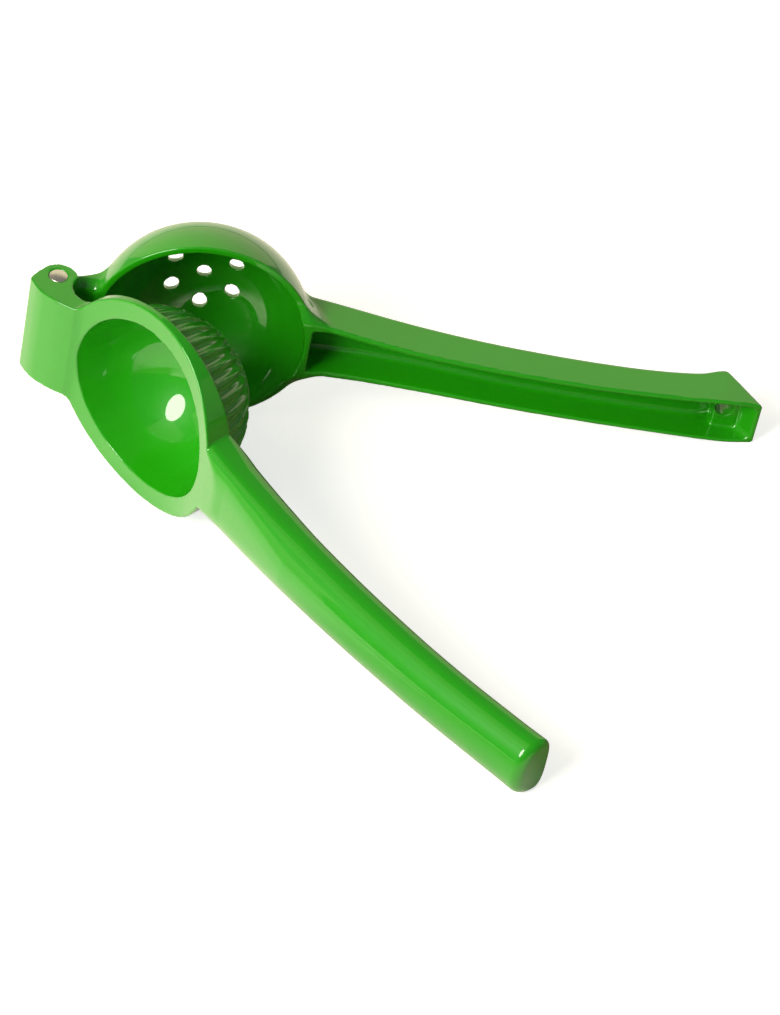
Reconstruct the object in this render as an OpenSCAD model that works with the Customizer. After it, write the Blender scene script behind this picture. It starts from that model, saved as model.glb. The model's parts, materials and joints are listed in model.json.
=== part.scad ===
// Hinged lemon squeezer: two cast aluminium arms that turn on one steel pin.
// It lies on its side, half open, as it does on a worktop. Sizes are in millimetres.
//
// Each arm is drawn in its own frame: the hinge pin is the z axis, x runs along the arm towards
// the handle's end, and y points outwards, away from the other arm. "Plan" outlines are in x and y,
// "front" outlines in x and z.

/* [Arms] */
// Distance from the hinge pin to the middle of the cup
cup_x = 43; // [42.5:0.1:43.5]
// Distance from the hinge pin to the end of the bowl arm
arm_length = 207; // [204:1:210]
// How much longer the press arm is
press_overhang = 1.6; // [0:0.2:3]
// Angle between the arms as they lie
open_angle = 45; // [44:0.5:46]

/* [Strainer bowl] */
// Outer radius of the bowl
bowl_r = 32.7; // [32.4:0.1:33]
// Inner radius of the bowl at its rim
bowl_mouth_r = 30.4; // [30.2:0.1:30.6]
// How far the middle of the bowl's inner ball lies in front of the rim
bowl_sink = 0.8; // [0.6:0.1:1]
// Depth of the bowl inside, at its middle
bowl_depth = 27.35; // [27.1:0.05:27.6]
// Thickness of the bowl's bottom
bowl_floor_t = 2.25; // [2:0.05:2.4]
// Distance from the hinge pin's middle plane to the bowl's rim
rim_y = 1.8; // [1.6:0.1:2]
// Diameter of a strainer hole, inside the bowl
strain_d = 4.2; // [3:0.1:5]
// How much wider a strainer hole gets for each millimetre that it runs outwards
strain_taper = 0.4; // [0.2:0.05:0.5]
// Radius of the circle of strainer holes
strain_ring_r = 10.6; // [9:0.1:12]
// Number of strainer holes round the middle one
strain_count = 6; // [5:1:8]

/* [Press] */
// Outer radius of the ring that carries the dome
ring_r = 33; // [32.8:0.1:33.2]
// Outer radius of the dome
dome_r = 28.3; // [28:0.1:28.5]
// Radius of the hollow in the dome's back
hollow_r = 26.4; // [26:0.1:26.6]
// Number of flutes round the dome
flute_count = 36; // [30:1:40]
// Radius of the round bottom of a flute
flute_r = 1.5; // [1.2:0.1:1.7]
// Depth of a flute where it is deepest
flute_depth = 0.7; // [0.5:0.1:0.8]

/* [Hinge] */
// Diameter of the hinge pin
pin_d = 5.5; // [5:0.1:5.8]
// How far each end of the pin stands proud of its ear
pin_proud = 0.3; // [0.2:0.1:0.5]
// Radial clearance of the pin in the bowl arm's barrel
pin_clearance = 0.07; // [0.05:0.01:0.1]
// Height of the hinge block, along the pin
hinge_h = 33.5; // [33:0.5:34]
// Height of the bowl arm's barrel and neck
lug_h = 25; // [24:0.5:25.5]
// Gap between each end of the barrel and its ear
lug_gap = 0.25; // [0.2:0.05:0.4]
// Outer radius of the barrel
barrel_r = 5.3; // [5.1:0.1:5.4]
// Outer radius of an ear round the pin
ear_r = 5.6; // [5.5:0.1:5.8]

/* [Handles] */
// Half the width of the bowl arm's handle at its waist
bowl_grip_w = 7.3; // [7:0.1:7.6]
// Half the width of the press arm's handle
press_grip_w = 8.9; // [8.6:0.1:9.1]
// Thickness of the channel's side walls
wall = 2; // [1.8:0.1:2.2]
// Thickness of the channel's floor
floor_t = 2.4; // [2.2:0.1:2.6]
// Diameter of the hanging hole near the bowl arm's end
hang_d = 5; // [4.5:0.1:5.4]

/* [Hidden] */
$fn = 64;
eps = 0.01;
// How far a fillet runs into what it blends with
blend = 0.05;
// Longer than anything that it cuts
over = 80;

// How the squeezer lies: its axis leans until the ring and the ends of both handles touch the surface.
// The frame's origin is on the surface, under the middle of the footprint.
droop = 9.38;
lean = -0.24;
lift = 39.31;
footprint_x = 91.62;
footprint_y = -6.81;

// Bowl
bowl_in_r = sqrt(pow(bowl_mouth_r, 2) + pow(bowl_sink, 2));
// Its bottom is flatter than its sides: radii of the bottom's inside and outside
dish_in_r = 36;
dish_out_r = 40;
neck_back_y = 12;
neck_fillet_r = 23;
neck_reach = cup_x - bowl_r + 8;

// Bowl arm's handle in plan: the rim and the back are long arcs, the back straight near the bowl
rim_arc_r = 640;
rim_low = [183, -8.4];
back_arc_r = 370;
back_low = [173, 2.1];
back_straight_x = 120;
grip_start_x = cup_x + 12;
// Beak at the handle's back, and the slanted end below it
beak_foot_x = arm_length - 20;
beak_rise = [arm_length - 12.9, 4.0];
beak_brow = [arm_length - 11.1, 4.7];
beak_tip = [arm_length - 9.7, 4.8];
end_heel = [arm_length - 0.4, -6.4];
end_rim_x = arm_length - 0.6;
// Bowl arm's handle from the front: it leaves the bowl in two fillets and has a waist
grip_cup_r = 31;
grip_fillet_r = 7;
grip_root_w = 9.9;
grip_waist_x = [110, 175];
grip_flare_x = arm_length - 9;
grip_flare_w = 8;
grip_end_w = 7.5;
// Channel in the handle: it ends in a slope behind the slanted end
channel_start_x = 76.4;
channel_toe = [arm_length - 7.2, -1.3];
channel_heel = [arm_length - 2.2, -7.4];
channel_open_y = rim_low[1] - 10;
// Hanging hole, in a boss that spans the channel
hang_x = arm_length - 8.8;
boss_w = 7.4;
boss_y = -5.2;

// Press arm in plan: the ring's back is a saddle of two arcs
mate_y = -0.2;
saddle_low = [38, 1.9];
saddle_hinge_r = 135;
saddle_grip_r = 92;
saddle_start_x = 16;
saddle_end_x = 70;
// Brow where the saddle ends and the handle's crown begins
brow = [82.4, 12.05];
// Hinge block: its end, its back from the end to the saddle, and its fillet with the ring
block_back = [[-4.9, 0], [-4.9, 5], [-3.7, 7.8], [-1.6, 8.8], [0.2, 8.9], [3.2, 8.7], [6.3, 8.2],
    [8.6, 7.7], [10.8, 7], [12.4, 6.35], [13.6, 5.7], [14.6, 4.8]];
block_fillet_r = 1.5;
ear_at = [0.5, 0.2];
// Round relief that clears the bowl's rim, and the fork's slot
relief_at = [9.7, -4.3];
relief_r = 5;
slot_r = barrel_r + 0.35;
slot_end_y = 4.6;
// Press arm's handle: an oval bar between two long arcs, its crown and its mating side
crown_top = [160, 16.75];
crown_arc_r = 640;
crown_corner_r = 4.6;
mate_top = [171, 5.7];
mate_arc_r = 580;
mate_corner_r = 4.2;
// Shoulders that widen the bar towards the ring
shoulder_r = 4.4;
shoulder_from = [72, 5.3, 6.5];
shoulder_to = [126, 9.8, 4.4];

// Dome
dome_y = 0.4;
hollow_y = 1.2;
flute_tilt = 24;
flute_rise = 9;
flute_length = 21;
flute_middle_r = (dome_r + flute_r - flute_depth) / cos(flute_tilt) - (flute_rise + dome_y) * tan(flute_tilt);

pin_chamfer = 0.4;

enamel = [0.22, 0.62, 0.15];
steel = [0.78, 0.76, 0.72];

// Height at x of an arc that rises on both sides of its lowest point, and its slope there
function arc_y(low, r, x) = low[1] + r - sqrt(r * r - pow(x - low[0], 2));
function arc_slope(low, r, x) = (x - low[0]) / sqrt(r * r - pow(x - low[0], 2));

// Points of that arc from x0 to x1
function valley(low, r, x0, x1, n) = [for (i = [0:n]) let (x = x0 + (x1 - x0) * i / n) [x, arc_y(low, r, x)]];

// Height of the bowl handle's back at x, where it is straight
function back_line_y(x) = arc_y(back_low, back_arc_r, back_straight_x)
    + arc_slope(back_low, back_arc_r, back_straight_x) * (x - back_straight_x);

// Turns a plan outline into a slab of height h across the hinge's middle plane
module slab(h) {
    linear_extrude(height = h, center = true) children();
}

// Turns a front outline into a slab that reaches well past the arm on both sides
module front_slab() {
    translate([0, over / 2, 0]) rotate([90, 0, 0]) linear_extrude(height = over) children();
}

// Middle, seen from the cup's, of a fillet of radius r between a round cup and a bar of half width w:
// the fillet runs a little way into both
function fillet_middle(cup_r, w, r) =
    let (y = w + r - blend) [sqrt(pow(cup_r + r - blend, 2) - y * y), y];

// Front outline that joins a round cup to a bar of half width w by two fillets: dir is 1 towards
// the handle's end and -1 towards the hinge
module fillet_web(cup_r, w, r, dir) {
    middle = fillet_middle(cup_r, w, r);
    translate([cup_x, 0]) mirror([(1 - dir) / 2, 0]) difference() {
        polygon([[0, 0], middle, [middle[0], -middle[1]]]);
        for (side = [-1, 1]) translate([middle[0], side * middle[1]]) circle(r);
    }
}

// Plan outline of the bowl arm's handle, with its beak and its slanted end
module bowl_grip_plan() {
    polygon(concat(
        valley(rim_low, rim_arc_r, end_rim_x, grip_start_x, 16),
        [[grip_start_x, back_line_y(grip_start_x)]],
        valley(back_low, back_arc_r, back_straight_x, beak_foot_x, 8),
        [beak_rise, beak_brow, beak_tip, end_heel]
    ));
}

// Plan outline of the handle's channel: open at the rim, its floor follows the back
module bowl_channel_plan() {
    polygon(concat(
        [[channel_heel[0], channel_open_y], [channel_start_x, channel_open_y]],
        [[channel_start_x, back_line_y(channel_start_x) - floor_t]],
        valley([back_low[0], back_low[1] - floor_t], back_arc_r, back_straight_x, beak_foot_x, 8),
        [channel_toe, channel_heel]
    ));
}

// Front outline of the bowl arm's handle from x0 on, made narrower by inset on each side
module bowl_grip_front(x0, inset) {
    half = [[x0, grip_root_w - inset], [grip_waist_x[0], bowl_grip_w - inset],
        [grip_waist_x[1], bowl_grip_w - inset], [grip_flare_x, grip_flare_w - inset],
        [arm_length, grip_end_w - inset]];
    polygon(concat(half, [for (i = [len(half) - 1:-1:0]) [half[i][0], -half[i][1]]]));
}

// Bar of the bowl arm's handle, still solid
module bowl_grip() {
    intersection() {
        slab(2 * bowl_r) bowl_grip_plan();
        front_slab() {
            fillet_web(grip_cup_r, grip_root_w, grip_fillet_r, 1);
            bowl_grip_front(cup_x + fillet_middle(grip_cup_r, grip_root_w, grip_fillet_r)[0], 0);
        }
    }
}

// Channel in the handle, left standing at the boss of the hanging hole
module bowl_channel() {
    difference() {
        intersection() {
            slab(2 * bowl_r) bowl_channel_plan();
            front_slab() bowl_grip_front(channel_start_x, wall);
        }
        translate([hang_x - boss_w / 2, boss_y, -bowl_r]) cube([boss_w, over, 2 * bowl_r]);
    }
}

// Barrel on the pin and the neck that joins it to the bowl, hollowed by a long fillet at its back
module bowl_neck() {
    slab(lug_h) {
        circle(barrel_r);
        difference() {
            translate([0, rim_y]) square([neck_reach, neck_back_y + eps]);
            translate([0, barrel_r + neck_fillet_r]) circle(neck_fillet_r);
        }
    }
}

// One strainer hole at a distance r from the bowl's axis, which widens outwards
module strainer_hole(r) {
    depth = bowl_depth - dish_in_r + sqrt(dish_in_r * dish_in_r - r * r);
    reach = 2 * bowl_floor_t;
    translate([r, 0, depth - reach])
        cylinder(d1 = strain_d - strain_taper * reach, d2 = strain_d + strain_taper * reach, h = 2 * reach);
}

// One hole on the bowl's axis and a ring of holes round it
module strainer_holes() {
    translate([cup_x, rim_y, 0]) rotate([-90, 0, 0]) {
        strainer_hole(0);
        for (i = [0:strain_count - 1])
            rotate([0, 0, 90 + i * 360 / strain_count]) strainer_hole(strain_ring_r);
    }
}

// Bowl arm: strainer bowl, neck and barrel at the hinge, and a channel handle
module bowl_arm_casting() {
    difference() {
        union() {
            translate([cup_x, rim_y, 0]) rotate([-90, 0, 0]) rotate_extrude() intersection() {
                circle(bowl_r);
                translate([0, bowl_depth + bowl_floor_t - dish_out_r]) circle(dish_out_r);
                square(bowl_r);
            }
            bowl_neck();
            bowl_grip();
        }
        intersection() {
            translate([cup_x, rim_y - bowl_sink, 0]) sphere(bowl_in_r);
            translate([cup_x, rim_y + bowl_depth - dish_in_r, 0]) sphere(dish_in_r);
        }
        bowl_channel();
        translate([hang_x, -over / 2, 0]) rotate([-90, 0, 0]) cylinder(d = hang_d, h = over);
        cylinder(d = pin_d + 2 * pin_clearance, h = lug_h + 1, center = true);
        strainer_holes();
    }
}

// Plan outline of the press arm's hinge block and of the ring with its saddle back
module press_plan() {
    polygon(concat(
        [[0, mate_y]],
        block_back,
        valley(saddle_low, saddle_hinge_r, saddle_start_x, saddle_low[0], 6),
        valley(saddle_low, saddle_grip_r, saddle_low[0] + 4, saddle_end_x, 8),
        [brow, [brow[0], mate_y]]
    ));
    translate(ear_at) circle(ear_r);
}

// Front outline of the hinge block and the ring
module press_front() {
    translate([cup_x, 0]) circle(ring_r);
    fillet_web(ring_r, hinge_h / 2, block_fillet_r, -1);
    translate([-ear_r, -hinge_h / 2]) square([ear_r + cup_x - ring_r / 2, hinge_h]);
}

// Section of a bar with a face at x = 0 and a round corner of radius r at each side of it: the bar
// reaches far to the left
module face_section(r) {
    flat_w = press_grip_w - r;
    translate([-over / 2, -press_grip_w]) square([over / 2 - r, 2 * press_grip_w]);
    translate([-over / 2, -flat_w]) square([over / 2, 2 * flat_w]);
    for (side = [-1, 1]) translate([-r, side * flat_w]) circle(r);
}

// Tapering shoulder on one side of the bar
module shoulder(side) {
    from = [shoulder_from[0], shoulder_from[1], side * shoulder_from[2]];
    way = [shoulder_to[0], shoulder_to[1], side * shoulder_to[2]] - from;
    translate(from) rotate([0, acos(way[2] / norm(way)), atan2(way[1], way[0])])
        cylinder(r = shoulder_r, h = norm(way));
}

// Press arm's handle: it rises out of the saddle, between its crown and its mating side
module press_grip() {
    inner_x = cup_x + hollow_r - 4;
    intersection() {
        union() {
            intersection() {
                translate([crown_top[0], crown_top[1] - crown_arc_r, 0]) rotate_extrude($fn = 360)
                    translate([crown_arc_r, 0]) face_section(crown_corner_r);
                translate([mate_top[0], mate_top[1] - mate_arc_r, 0]) rotate_extrude($fn = 360)
                    translate([mate_arc_r, 0]) mirror([1, 0]) face_section(mate_corner_r);
            }
            for (side = [-1, 1]) shoulder(side);
        }
        slab(2 * ring_r) polygon(concat(
            [[inner_x, mate_y]],
            valley(saddle_low, saddle_grip_r, inner_x, saddle_end_x, 2),
            [brow, [brow[0], over], [arm_length + press_overhang, over]],
            [[arm_length + press_overhang, mate_y]]
        ));
    }
}

// Round-bottomed flutes up the dome's side, each a tilted bore that runs out at the shoulder
module dome_flutes() {
    translate([cup_x, mate_y, 0]) rotate([90, 0, 0]) for (i = [0:flute_count - 1])
        rotate([0, 0, (i + 0.5) * 360 / flute_count])
            translate([flute_middle_r, 0, flute_rise]) rotate([0, -flute_tilt, 0])
                cylinder(r = flute_r, h = flute_length, center = true);
}

// Fork for the barrel, and the relief for the bowl's rim
module press_fork() {
    slab(lug_h + 2 * lug_gap) {
        circle(slot_r);
        translate([-over, -over]) square([over, over + slot_end_y]);
        translate([-eps, -over]) square([relief_at[0], over + mate_y]);
    }
    slab(over) translate(relief_at) circle(relief_r);
}

// Press arm: forked hinge block, ring, fluted hollow dome and a solid handle
module press_arm_casting() {
    difference() {
        union() {
            intersection() {
                slab(over) press_plan();
                front_slab() press_front();
            }
            press_grip();
            difference() {
                translate([cup_x, dome_y, 0]) sphere(dome_r);
                translate([cup_x, mate_y + over / 2 + eps, 0]) cube(over, center = true);
                dome_flutes();
            }
        }
        translate([cup_x, hollow_y, 0]) sphere(hollow_r);
        translate([cup_x, hollow_y, 0]) rotate([-90, 0, 0]) cylinder(r = hollow_r, h = over);
        press_fork();
        cylinder(d = pin_d, h = hinge_h + 1, center = true);
    }
}

// Hinge pin: a steel dowel with chamfered ends
module hinge_pin_dowel() {
    half = hinge_h / 2 + pin_proud;
    rotate_extrude() polygon([
        [0, -half], [pin_d / 2 - pin_chamfer, -half], [pin_d / 2, pin_chamfer - half],
        [pin_d / 2, half - pin_chamfer], [pin_d / 2 - pin_chamfer, half], [0, half]
    ]);
}

// Lays the squeezer down on its side
module lying() {
    translate([-footprint_x, -footprint_y, lift]) rotate([lean, droop, 0]) children();
}

module bowl_arm() {
    color(enamel) lying() rotate([0, 0, open_angle / 2]) bowl_arm_casting();
}

module press_arm() {
    color(enamel) lying() rotate([0, 0, -open_angle / 2]) mirror([0, 1, 0]) press_arm_casting();
}

module hinge_pin() {
    color(steel) lying() hinge_pin_dowel();
}

bowl_arm();
press_arm();
hinge_pin();
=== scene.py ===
"""Dresses a hinged lemon squeezer: two enamelled aluminium castings that turn on one steel pin.

Sizes of the object are in millimetres, in each arm's own frame: the hinge pin is the z axis, x runs
along the arm towards the handle's end, and y points outwards, away from the other arm. The castings
are distance fields, so that every edge and corner has the round that a mould gives it.
"""

import json
import logging
import math
from collections.abc import Callable
from dataclasses import dataclass, field
from enum import Enum

import bpy
import numpy as np
from mathutils import Matrix, Vector

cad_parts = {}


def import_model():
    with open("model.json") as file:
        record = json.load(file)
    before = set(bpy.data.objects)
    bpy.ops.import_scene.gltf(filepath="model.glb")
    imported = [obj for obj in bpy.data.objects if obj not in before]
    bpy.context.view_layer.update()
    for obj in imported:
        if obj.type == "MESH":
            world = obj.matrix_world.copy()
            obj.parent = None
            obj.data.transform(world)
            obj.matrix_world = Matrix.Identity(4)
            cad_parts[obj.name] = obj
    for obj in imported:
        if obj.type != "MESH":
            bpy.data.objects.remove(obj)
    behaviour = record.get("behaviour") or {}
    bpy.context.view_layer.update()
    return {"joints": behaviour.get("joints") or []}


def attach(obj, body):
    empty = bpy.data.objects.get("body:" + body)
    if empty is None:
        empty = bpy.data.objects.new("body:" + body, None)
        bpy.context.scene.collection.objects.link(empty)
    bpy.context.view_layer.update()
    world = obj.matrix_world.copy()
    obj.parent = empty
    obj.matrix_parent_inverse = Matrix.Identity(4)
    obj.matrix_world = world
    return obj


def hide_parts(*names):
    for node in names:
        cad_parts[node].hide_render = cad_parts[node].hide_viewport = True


log = logging.getLogger("squeezer")

Array = np.ndarray
Field = Callable[[Array, Array, Array], Array]
Point = tuple[float, float]

MM = 0.001
TINY = 1e-9


# ---------------------------------------------------------------- distance fields


def fillet(a: Array, b: Array, r: float | Array) -> Array:
    """Joins two solids with a fillet in the corner between them.

    Args:
        a: distances to the first solid, in mm, negative inside it.
        b: distances to the second solid.
        r: radius of the fillet.

    Returns:
        Distances to the joined solid.
    """
    return np.maximum(r, np.minimum(a, b)) - np.hypot(np.maximum(r - a, 0), np.maximum(r - b, 0))


def trim(a: Array, b: Array, r: float | Array) -> Array:
    """Keeps what two solids share, and rounds the edge where their surfaces meet.

    Args:
        a: distances to the first solid, in mm, negative inside it.
        b: distances to the second solid.
        r: radius of the rounded edge.

    Returns:
        Distances to what they share.
    """
    return np.minimum(-r, np.maximum(a, b)) + np.hypot(np.maximum(r + a, 0), np.maximum(r + b, 0))


def cut(a: Array, tool: Array, r: float | Array) -> Array:
    """Cuts a tool out of a solid, and rounds the edge that it leaves by r."""
    return trim(a, -tool, r)


@dataclass(frozen=True)
class Curve:
    """A smooth curve y(x) through a few points, straight on past its ends.

    Attributes:
        points: the points, from low x to high x, in mm.
        steps: number of samples that it is stored as.
        run_on: how far it goes straight on past its ends, in mm.
    """

    points: tuple[Point, ...]
    steps: int = 600
    run_on: float = 500.0

    def __post_init__(self) -> None:
        """Samples the curve once, with a slope at each point that its neighbours give."""
        x, y = np.array(self.points, float).T
        rise = np.diff(y) / np.diff(x)
        slope = np.concatenate([rise[:1], (y[2:] - y[:-2]) / (x[2:] - x[:-2]), rise[-1:]])
        at = np.linspace(x[0], x[-1], self.steps)
        i = np.clip(np.searchsorted(x, at, side="right") - 1, 0, len(x) - 2)
        gap = x[i + 1] - x[i]
        t = (at - x[i]) / gap
        value = ((2 * t - 3) * t * t + 1) * y[i] + (3 - 2 * t) * t * t * y[i + 1]
        value += gap * t * (t - 1) * ((t - 1) * slope[i] + t * slope[i + 1])
        at = np.concatenate([[x[0] - self.run_on], at, [x[-1] + self.run_on]])
        before, after = y[0] - self.run_on * slope[0], y[-1] + self.run_on * slope[-1]
        value = np.concatenate([[before], value, [after]])
        object.__setattr__(self, "_x", at)
        object.__setattr__(self, "_y", value)
        object.__setattr__(self, "_cos", 1 / np.hypot(1, np.gradient(value, at)))

    def y(self, x: Array) -> Array:
        """Height of the curve at x."""
        return np.interp(x, self._x, self._y)

    def above(self, x: Array, y: Array) -> Array:
        """Signed distance of a point from the curve, positive above it."""
        return (y - self.y(x)) * np.interp(x, self._x, self._cos)


def half_plane(x: Array, y: Array, start: Point, end: Point) -> Array:
    """Distance from the line through two points, positive on the left of the way from start to end."""
    dx, dy = end[0] - start[0], end[1] - start[1]
    return (dx * (y - start[1]) - dy * (x - start[0])) / math.hypot(dx, dy)


# ---------------------------------------------------------------- meshing


@dataclass(frozen=True)
class Surfacer:
    """Lays an even mesh of quads on the surface of a distance field.

    Attributes:
        pitch: size of a quad, in mm.
        block: side of the blocks that are skipped when the surface is far, in grid steps.
        reach: how much further than its own size a block looks for the surface.
        relax: share of the way by which a point moves towards its neighbours' middle.
        passes: number of times that the points are evened out and laid back on the surface.
        margin: room round the solid, in grid steps.
        batches: number of parts in which the blocks are sampled, which keeps the memory small.
        probe: distance over which the field's slope is taken, in mm.
        least_steep: the flattest slope, squared, that a point is moved by.
    """

    pitch: float = 0.57
    block: int = 4
    reach: float = 1.6
    relax: float = 0.5
    passes: int = 4
    margin: int = 2
    batches: int = 24
    probe: float = 0.02
    least_steep: float = 0.25

    def sample(self, solid: Field, low: Array, count: Array) -> Array:
        """Samples the field on a grid, block by block, and only near the surface.

        Args:
            solid: the distance field.
            low: the grid's lowest corner, in mm.
            count: number of blocks along each axis.

        Returns:
            The field's values on the grid, with only the right sign far from the surface.
        """
        side = self.block * self.pitch
        n = self.block
        near = self.reach * (math.sqrt(3) * side / 2 + self.pitch)
        bi, bj, bk = (i.ravel() for i in np.indices(count))
        middle = [low[a] + (b + 0.5) * side - self.pitch / 2 for a, b in enumerate((bi, bj, bk))]
        far = solid(*middle)
        grid = np.empty((count[0], n, count[1], n, count[2], n), np.float32)
        grid[...] = far.reshape(count)[:, None, :, None, :, None]
        step = np.arange(n) * self.pitch
        for part in np.array_split(np.flatnonzero(np.abs(far) < near), self.batches):
            x, y, z = np.broadcast_arrays(
                (low[0] + bi[part] * side)[:, None, None, None] + step[:, None, None],
                (low[1] + bj[part] * side)[:, None, None, None] + step[:, None],
                (low[2] + bk[part] * side)[:, None, None, None] + step,
            )
            grid[bi[part], :, bj[part], :, bk[part], :] = solid(x, y, z)
        return grid.reshape(count * n)

    def net(self, grid: Array, low: Array) -> tuple[Array, Array]:
        """One point in each cell that the surface crosses, and one quad round each edge it crosses.

        Args:
            grid: the field's values on the grid.
            low: the grid's lowest corner, in mm.

        Returns:
            The points, and the quads as rows of point numbers, facing outwards.
        """
        inside = grid < 0
        shape = np.array(grid.shape) - 1
        total = np.zeros(shape, np.int8)
        corners = [np.array(c) for c in np.ndindex(2, 2, 2)]
        for c in corners:
            total += inside[tuple(slice(c[a], c[a] + shape[a]) for a in range(3))]
        cells = np.argwhere((total > 0) & (total < 8))
        number = np.full(shape, -1, np.int32)
        number[tuple(cells.T)] = np.arange(len(cells))
        value = {tuple(c): grid[tuple((cells + c).T)] for c in corners}
        total_point = np.zeros((len(cells), 3))
        crossings = np.zeros(len(cells))
        for axis in range(3):
            for c in (c for c in corners if c[axis] == 0):
                end = c.copy()
                end[axis] = 1
                a, b = value[tuple(c)], value[tuple(end)]
                crossed = (a < 0) != (b < 0)
                share = np.where(crossed, a / np.where(crossed, a - b, 1), 0)
                point = np.repeat(c[None].astype(float), len(cells), 0)
                point[:, axis] += share
                total_point += point * crossed[:, None]
                crossings += crossed
        points = low + (cells + total_point / crossings[:, None]) * self.pitch
        quads = []
        for axis in range(3):
            u, v = (axis + 1) % 3, (axis + 2) % 3
            first = inside[tuple(slice(0, -1) if a == axis else slice(1, -1) for a in range(3))]
            last = inside[tuple(slice(1, None) if a == axis else slice(1, -1) for a in range(3))]
            at = np.argwhere(first != last)
            outward = first[tuple(at.T)]
            at += [0 if a == axis else 1 for a in range(3)]
            ring = []
            for du, dv in ((1, 1), (0, 1), (0, 0), (1, 0)):
                cell = at.copy()
                cell[:, u] -= du
                cell[:, v] -= dv
                ring.append(number[tuple(cell.T)])
            quad = np.stack(ring, 1)
            quad[~outward] = quad[~outward, ::-1]
            quads.append(quad)
        return points, np.concatenate(quads)

    def slope(self, solid: Field, points: Array) -> tuple[Array, Array]:
        """Measures the field and its slope.

        Args:
            solid: the distance field.
            points: the points where it is measured, in mm.

        Returns:
            The field's values and its gradients.
        """
        out = []
        for axis in range(3):
            ahead, behind = points.copy(), points.copy()
            ahead[:, axis] += self.probe
            behind[:, axis] -= self.probe
            out.append((solid(*ahead.T) - solid(*behind.T)) / (2 * self.probe))
        return solid(*points.T), np.stack(out, 1)

    def settle(self, solid: Field, points: Array) -> Array:
        """Moves points along the gradient, towards the surface.

        Args:
            solid: the distance field.
            points: the points, in mm.

        Returns:
            The moved points.
        """
        value, slope = self.slope(solid, points)
        steep = np.maximum((slope**2).sum(1), self.least_steep)
        move = np.clip(value / steep, -self.pitch, self.pitch)
        return points - move[:, None] * slope

    def surface(self, solid: Field, low: Array, high: Array) -> tuple[Array, Array, Array]:
        """Meshes a solid.

        Args:
            solid: the distance field.
            low: lowest corner of a box round the solid, in mm.
            high: highest corner of that box.

        Returns:
            Points, quads and the surface's outward direction at each point.
        """
        edge = self.margin * self.pitch
        low = np.array(low, float) - edge
        count = np.ceil((np.array(high) + edge - low) / (self.block * self.pitch)).astype(int)
        points, quads = self.net(self.sample(solid, low, count), low)
        edges = np.concatenate([quads[:, [i, (i + 1) % 4]] for i in range(4)])
        for _ in range(self.passes):
            points = self.settle(solid, points)
            total = np.zeros_like(points)
            for axis in range(3):
                total[:, axis] = np.bincount(edges[:, 0], points[edges[:, 1], axis], len(points))
                total[:, axis] += np.bincount(edges[:, 1], points[edges[:, 0], axis], len(points))
            links = np.bincount(edges.ravel(), minlength=len(points))
            points += self.relax * (total / links[:, None] - points)
        points = self.settle(solid, self.settle(solid, points))
        _, slope = self.slope(solid, points)
        return points, quads, slope / np.linalg.norm(slope, axis=1, keepdims=True)


# ---------------------------------------------------------------- where the arms lie


@dataclass(frozen=True)
class Hinge:
    """Where the hinge pin lies, as the frame's joint gives it, and how far the arms are open."""

    pin: Vector
    axis: Vector
    opening: float = math.radians(45)

    @classmethod
    def from_joint(cls, joint: dict) -> "Hinge":
        """Reads the pin's place and direction from the frame's joint."""
        return cls(Vector(joint["pos_m"]), Vector(joint["axis"]).normalized())

    def matrix(self, side: float = 0.0, outward: float = 1.0) -> Matrix:
        """From an arm's frame in mm to the row frame in metres.

        Args:
            side: 1 for the bowl arm, -1 for the press arm, 0 for the line between them.
            outward: 1 where y turns with the arm, -1 where it is mirrored.

        Returns:
            The transform.
        """
        z = self.axis
        x = Vector((z.z, 0.0, -z.x)).normalized()
        turned = Matrix.Rotation(side * self.opening / 2, 3, z)
        along, across = turned @ x, turned @ z.cross(x) * outward
        m = Matrix((along, across, z)).transposed() * MM
        return Matrix.Translation(self.pin) @ m.to_4x4()


def mesh_object(
    name: str, points: Array, faces: list, place: Matrix, normals: Array | None = None
) -> bpy.types.Object:
    """Makes an object at the origin whose mesh lies in the row frame.

    Args:
        name: the piece's name.
        points: its points, in mm, in the arm's frame.
        faces: lists of point numbers, facing outwards in the arm's frame.
        place: from the arm's frame to the row frame.
        normals: the surface's direction at each point, or None to leave it to Blender.

    Returns:
        The new object.
    """
    m = np.array(place)
    mirrored = np.linalg.det(m[:3, :3]) < 0
    mesh = bpy.data.meshes.new(name)
    faces = [face[::-1] for face in faces] if mirrored else faces
    mesh.from_pydata((points @ m[:3, :3].T + m[:3, 3]).tolist(), [], faces)
    mesh.shade_smooth()
    if normals is not None:
        turned = normals @ (m[:3, :3] / MM).T
        mesh.normals_split_custom_set_from_vertices(turned.tolist())
    obj = bpy.data.objects.new(name, mesh)
    bpy.context.scene.collection.objects.link(obj)
    return obj


# ---------------------------------------------------------------- finishes


def linear(code: str) -> tuple[float, float, float, float]:
    """Turns an sRGB hex value into linear red, green, blue and alpha."""
    parts = [int(code[i : i + 2], 16) / 255 for i in (0, 2, 4)]
    return (*(c / 12.92 if c <= 0.04045 else ((c + 0.055) / 1.055) ** 2.4 for c in parts), 1.0)


def add_node(
    tree: bpy.types.NodeTree, kind: str, settings: dict | None = None, **links: bpy.types.NodeSocket
) -> bpy.types.Node:
    """Adds a node.

    Args:
        tree: the node tree.
        kind: the node's type name, such as "ShaderNodeMath".
        settings: attribute values by name, and input values by input name or number.
        links: sockets to link to its inputs, by input name with _ for a space, or by at and a number.

    Returns:
        The new node.
    """
    node = tree.nodes.new(kind)
    for key, value in (settings or {}).items():
        if isinstance(key, str) and hasattr(node, key):
            setattr(node, key, value)
        else:
            node.inputs[key].default_value = value
    for key, socket in links.items():
        name = key.replace("_", " ")
        tree.links.new(socket, node.inputs[int(name[2:]) if name.startswith("at") else name])
    return node


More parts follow.
